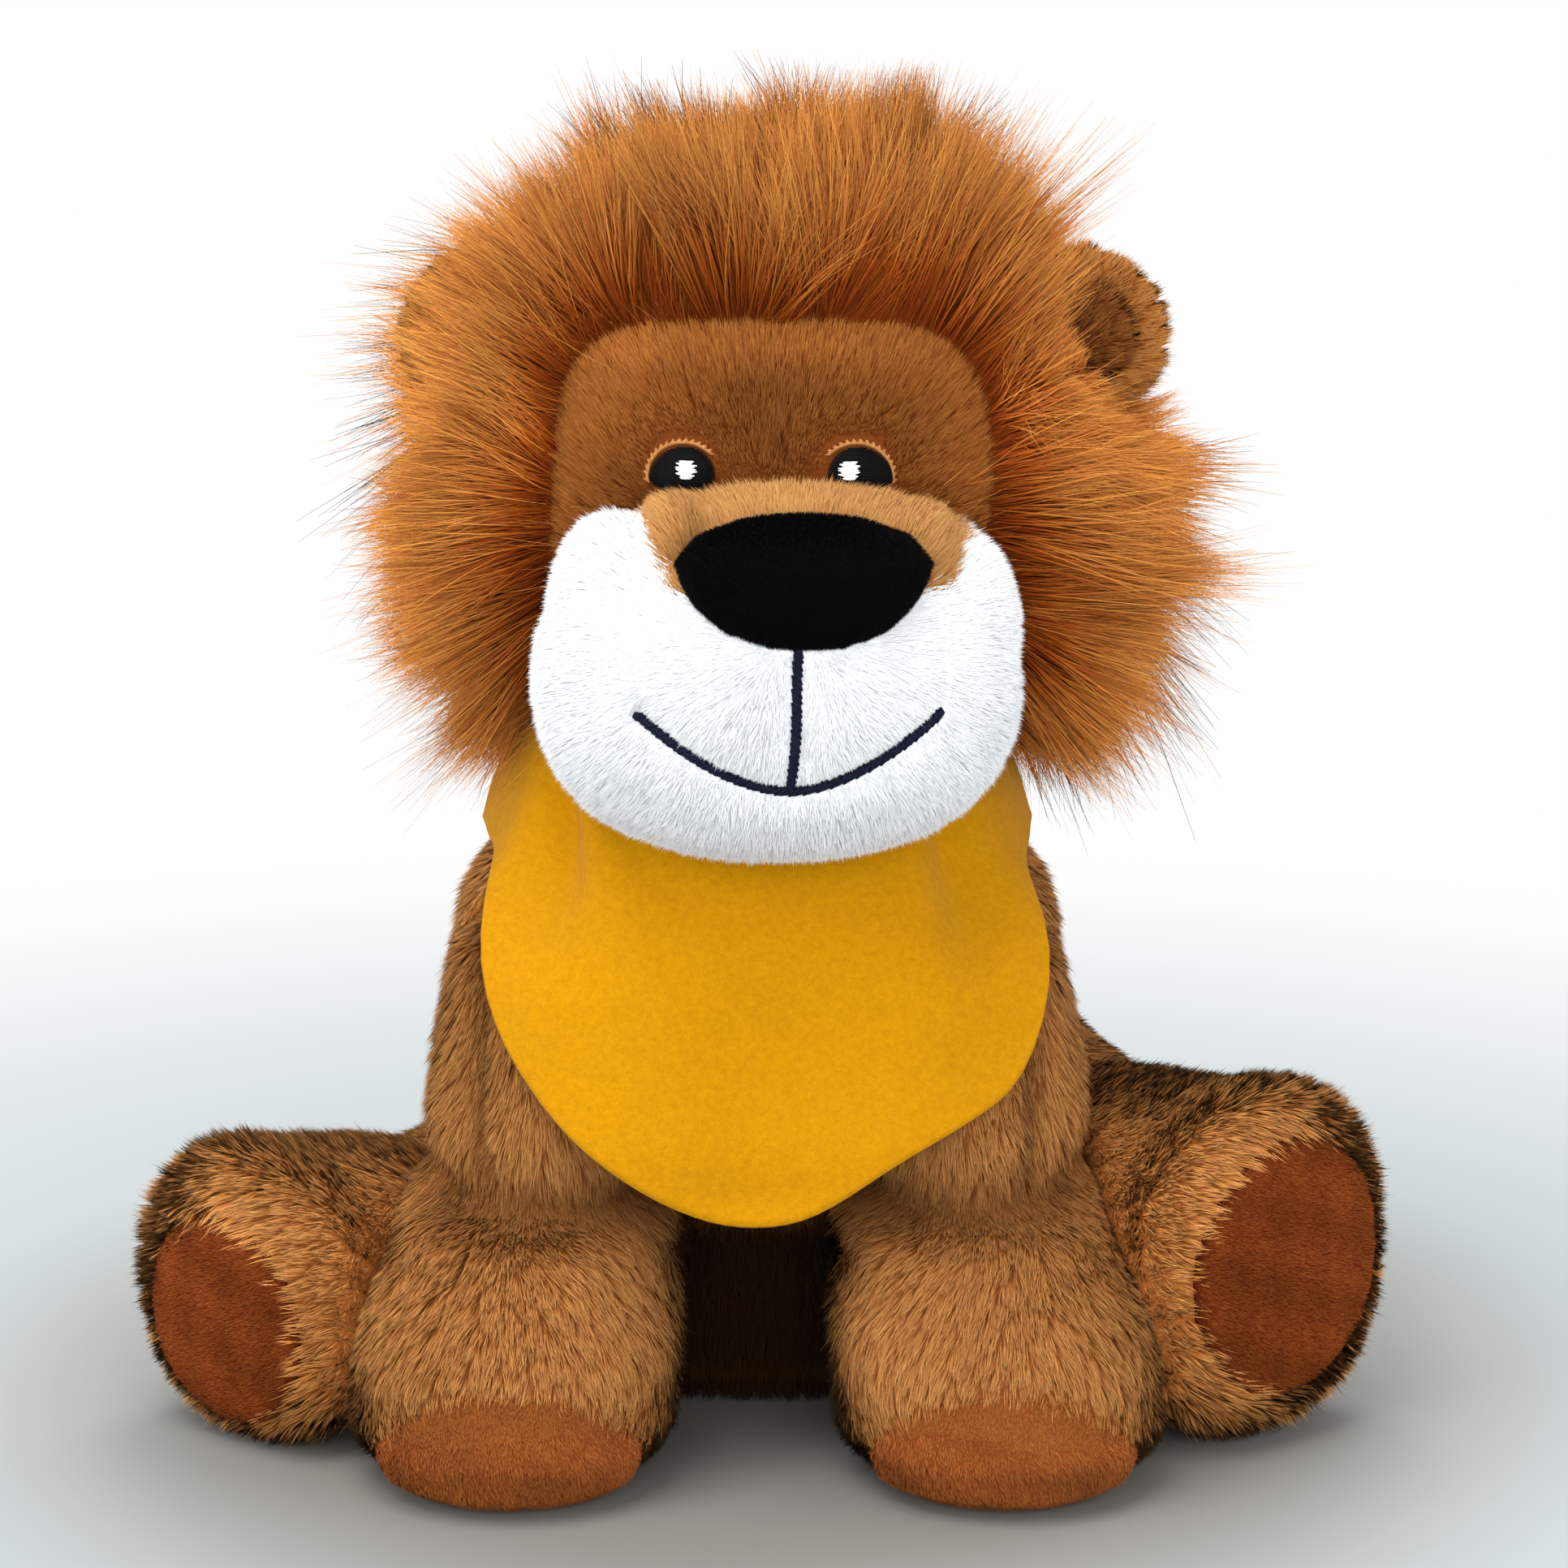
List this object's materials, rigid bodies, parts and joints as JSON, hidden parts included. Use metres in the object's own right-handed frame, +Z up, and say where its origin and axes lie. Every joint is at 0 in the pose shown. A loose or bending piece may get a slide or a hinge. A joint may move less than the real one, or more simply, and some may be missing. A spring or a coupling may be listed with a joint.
{
  "type": "plush lion toy",
  "caption": "Sitting stuffed toy lion with a long-pile mane round its face, splayed hind legs, a tufted tail and a felt neckerchief tied at the nape.",
  "frame": {"origin": "on the flat under the torso that the toy sits on, below the middle of its belly", "axes": "+Z up, the face looks along -Y, the lion's own left side is +X"},
  "size_m": [0.2034, 0.2072, 0.22],
  "materials": {
    "brown_short_pile": "matte",
    "face_short_pile": "matte",
    "tan_short_pile": "matte",
    "white_short_pile": "matte",
    "rust_long_pile": "matte",
    "ear_lining_pile": "matte",
    "rust_pad_cloth": "matte",
    "dark_rust_sole_cloth": "matte",
    "black_velour": "matte",
    "black_thread": "satin",
    "navy_thread": "satin",
    "white_thread": "satin",
    "tan_thread": "satin",
    "mustard_felt": "matte",
    "white_fibre_filling": "matte",
    "calico_bag": "matte"
  },
  "bodies": {
    "torso": {"torso_cover": "brown_short_pile", "torso_stuffing": "white_fibre_filling", "seat_pellet_bag": "calico_bag", "neckerchief_collar": "mustard_felt", "neckerchief_knot": "mustard_felt"},
    "neck": {"neck_stuffing": "white_fibre_filling"},
    "head": {"head_cover": "face_short_pile", "head_stuffing": "white_fibre_filling", "muzzle": "white_short_pile", "nose_bridge": "tan_short_pile", "nose": "black_velour", "left_eye": "black_thread", "right_eye": "black_thread", "left_eye_glint": "white_thread", "right_eye_glint": "white_thread", "left_lid_line": "tan_thread", "right_lid_line": "tan_thread", "philtrum_stitch": "navy_thread", "smile_stitch": "navy_thread", "mane_crown": "rust_long_pile", "mane_left_ruff": "rust_long_pile", "mane_right_ruff": "rust_long_pile", "mane_back": "rust_long_pile"},
    "left_ear": {"left_ear": "brown_short_pile", "left_ear_lining": "ear_lining_pile"},
    "right_ear": {"right_ear": "brown_short_pile", "right_ear_lining": "ear_lining_pile"},
    "neckerchief_flap": {"neckerchief_flap": "mustard_felt"},
    "left_foreleg": {"left_foreleg_cover": "brown_short_pile", "left_foreleg_stuffing": "white_fibre_filling", "left_paw_pad": "rust_pad_cloth"},
    "right_foreleg": {"right_foreleg_cover": "brown_short_pile", "right_foreleg_stuffing": "white_fibre_filling", "right_paw_pad": "rust_pad_cloth"},
    "left_hind_leg": {"left_hind_leg_cover": "brown_short_pile", "left_hind_leg_stuffing": "white_fibre_filling", "left_sole": "dark_rust_sole_cloth"},
    "right_hind_leg": {"right_hind_leg_cover": "brown_short_pile", "right_hind_leg_stuffing": "white_fibre_filling", "right_sole": "dark_rust_sole_cloth"},
    "tail": {"tail": "brown_short_pile", "tail_tuft": "rust_long_pile"}
  },
  "joints": [
    {"name": "neck_turn", "type": "hinge", "parent": "torso", "child": "neck", "pos_m": [0.0012, -0.001, 0.112], "axis": [0, 0, 1], "range_deg": [-20, 20], "stiffness_Nm_per_rad": 0.08},
    {"name": "head_nod", "type": "hinge", "parent": "neck", "child": "head", "pos_m": [0.0012, -0.001, 0.112], "axis": [1, 0, 0], "range_deg": [-8, 3], "stiffness_Nm_per_rad": 0.8},
    {"name": "neckerchief_lift", "type": "hinge", "parent": "torso", "child": "neckerchief_flap", "pos_m": [-0.001, -0.0472, 0.0935], "axis": [-1, 0, 0], "range_deg": [0, 40]},
    {"name": "left_foreleg_swing", "type": "hinge", "parent": "torso", "child": "left_foreleg", "pos_m": [0.0295, -0.025, 0.074], "axis": [-1, 0, 0], "range_deg": [0, 8], "stiffness_Nm_per_rad": 0.15},
    {"name": "right_foreleg_swing", "type": "hinge", "parent": "torso", "child": "right_foreleg", "pos_m": [-0.0315, -0.025, 0.074], "axis": [-1, 0, 0], "range_deg": [0, 8], "stiffness_Nm_per_rad": 0.15},
    {"name": "left_hind_leg_splay", "type": "hinge", "parent": "torso", "child": "left_hind_leg", "pos_m": [0.035, 0.024, 0.0345], "axis": [0, 0, 1], "range_deg": [0, 10], "stiffness_Nm_per_rad": 0.15},
    {"name": "right_hind_leg_splay", "type": "hinge", "parent": "torso", "child": "right_hind_leg", "pos_m": [-0.037, 0.024, 0.0275], "axis": [0, 0, -1], "range_deg": [0, 10], "stiffness_Nm_per_rad": 0.15},
    {"name": "tail_swing", "type": "hinge", "parent": "torso", "child": "tail", "pos_m": [-0.001, 0.0512, 0.013], "axis": [0, 0, 1], "range_deg": [-15, 15], "stiffness_Nm_per_rad": 0.01},
    {"name": "left_ear_fold", "type": "hinge", "parent": "head", "child": "left_ear", "pos_m": [0.04706, 0, 0.17718], "axis": [0.515, 0, -0.8572], "range_deg": [-12, 15], "stiffness_Nm_per_rad": 0.01},
    {"name": "right_ear_fold", "type": "hinge", "parent": "head", "child": "right_ear", "pos_m": [-0.04006, 0, 0.17718], "axis": [0.515, 0, 0.8572], "range_deg": [-12, 15], "stiffness_Nm_per_rad": 0.01}
  ]
}
